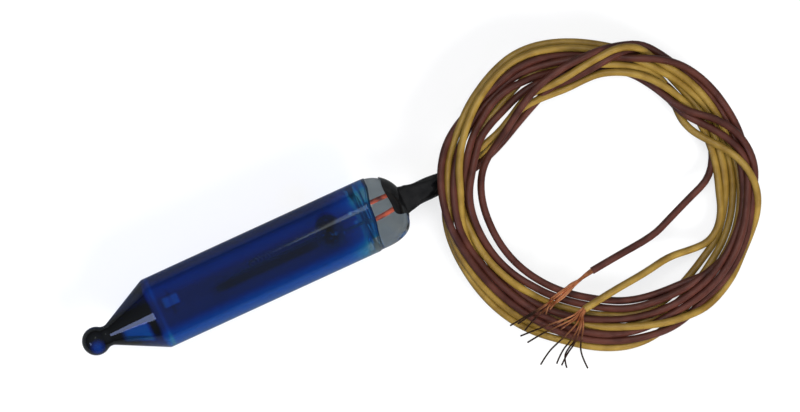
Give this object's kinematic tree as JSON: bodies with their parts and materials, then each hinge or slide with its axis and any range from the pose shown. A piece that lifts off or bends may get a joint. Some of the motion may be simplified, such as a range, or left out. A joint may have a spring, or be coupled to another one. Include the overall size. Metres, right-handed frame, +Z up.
{
  "type": "miniature flashing bulb",
  "caption": "Small wire-ended flasher lamp: blue dipped glass tube with a drawn ball tip, bimetal flasher inside, black sleeve, and two thin leads wound in a loose coil.",
  "frame": {"origin": "bottom centre of the bulb with its sleeve, on the surface that it lies on", "axes": "+X along the bulb from its ball tip to its leads, +Z up from the surface"},
  "size_m": [0.0469, 0.0216, 0.005],
  "materials": {
    "clear_glass": "clear, faintly grey",
    "blue_lacquer": "deep blue transparent dipped lacquer, glossy",
    "bead_glass": "grey glass",
    "coppered_wire": "copper-sheathed seal wire, oxidised red in the glass",
    "nickel_wire": "dull nickel",
    "contact_metal": "bright contact metal",
    "tungsten": "grey tungsten",
    "bimetal": "rolled bimetal strip",
    "solder": "soft solder",
    "black_sleeve": "shrunk black plastic sleeve, wrinkled",
    "yellow_insulation": "mustard yellow plastic insulation",
    "brown_insulation": "red-brown plastic insulation",
    "wound_leads": "both leads wound together",
    "bare_copper": "bare copper strands, partly tarnished"
  },
  "bodies": {
    "bulb": {"glass_envelope": "clear_glass", "blue_lacquer": "blue_lacquer", "glass_bead": "bead_glass", "seal_wire_long": "coppered_wire", "seal_wire_short": "coppered_wire", "contact_post": "nickel_wire", "contact_anvil": "contact_metal", "filament_hook": "nickel_wire", "filament": "tungsten", "splice_yellow": "solder", "splice_brown": "solder", "shrink_sleeve": "black_sleeve", "yellow_lead_start": "yellow_insulation", "brown_lead_start": "brown_insulation", "lead_coil": "wound_leads", "yellow_lead_end": "yellow_insulation", "brown_lead_end": "brown_insulation", "yellow_strands": "bare_copper", "brown_strands": "bare_copper"},
    "bimetal_arm": {"bimetal_strip": "bimetal", "contact_button": "contact_metal"}
  },
  "joints": [
    {"name": "bimetal_bend", "type": "hinge", "parent": "bulb", "child": "bimetal_arm", "pos_m": [0.00347, -0.00026, 0.00263], "axis": [0, 1, 0], "range_deg": [0, 3], "stiffness_Nm_per_rad": 0.0017}
  ]
}
